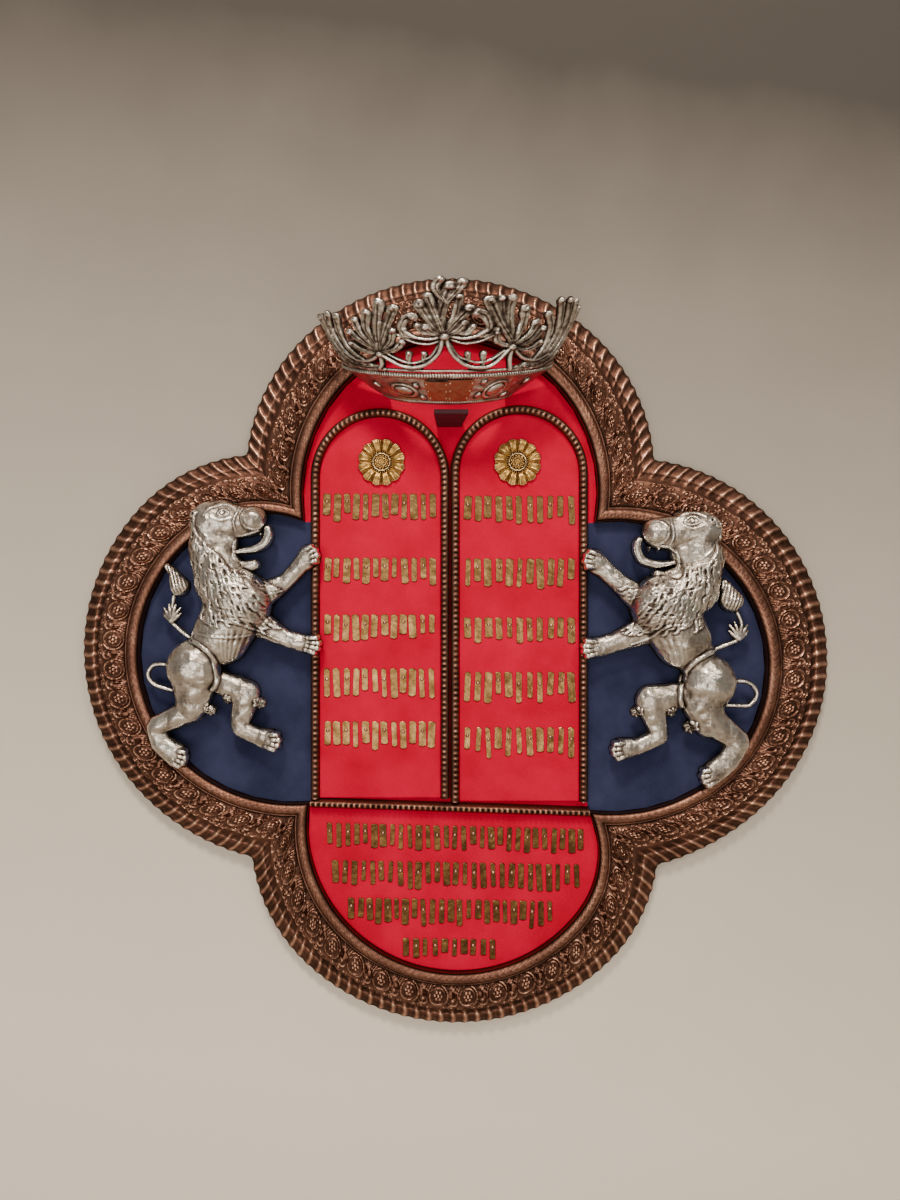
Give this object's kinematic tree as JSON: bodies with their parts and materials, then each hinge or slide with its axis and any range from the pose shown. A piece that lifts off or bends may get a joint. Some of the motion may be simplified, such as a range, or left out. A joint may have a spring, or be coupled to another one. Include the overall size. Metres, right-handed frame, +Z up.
{
  "type": "quatrefoil wall plaque with tablets, crown and lions",
  "caption": "Quatrefoil wall plaque: embossed copper frame, red and blue cloth panels, arched tablets with rows of strokes, silver lions in relief and a leaning half crown.",
  "frame": {"origin": "middle of the board's flat back face, where it meets the wall", "axes": "+Y into the wall, +Z up, +X to the viewer's right"},
  "size_m": [1.0186, 0.1794, 1.0193],
  "materials": {
    "embossed_copper": "aged embossed copper sheet, brown in the hollows",
    "silver": "hammered silver sheet with brown tarnish",
    "gilt_brass": "stamped gilt brass",
    "red_cloth": "red felt over board",
    "blue_cloth": "dark blue felt over board",
    "board_wood": "plain board",
    "patch_copper": "plain copper sheet",
    "bracket_paint": "dark red paint on a block"
  },
  "bodies": {
    "root": {"arch_trim_left": "embossed_copper", "arch_trim_right": "embossed_copper", "back_board": "board_wood", "blue_panel_left": "blue_cloth", "blue_panel_right": "blue_cloth", "centre_panel": "red_cloth", "copper_frame": "embossed_copper", "crown_band": "silver", "crown_bracket": "bracket_paint", "crown_crest": "silver", "crown_patch_left": "patch_copper", "crown_patch_right": "patch_copper", "foot_bar": "embossed_copper", "foot_panel": "red_cloth", "lion_left": "silver", "lion_right": "silver", "rosette_left": "gilt_brass", "rosette_right": "gilt_brass", "tablet_left": "red_cloth", "tablet_right": "red_cloth"}
  },
  "joints": []
}
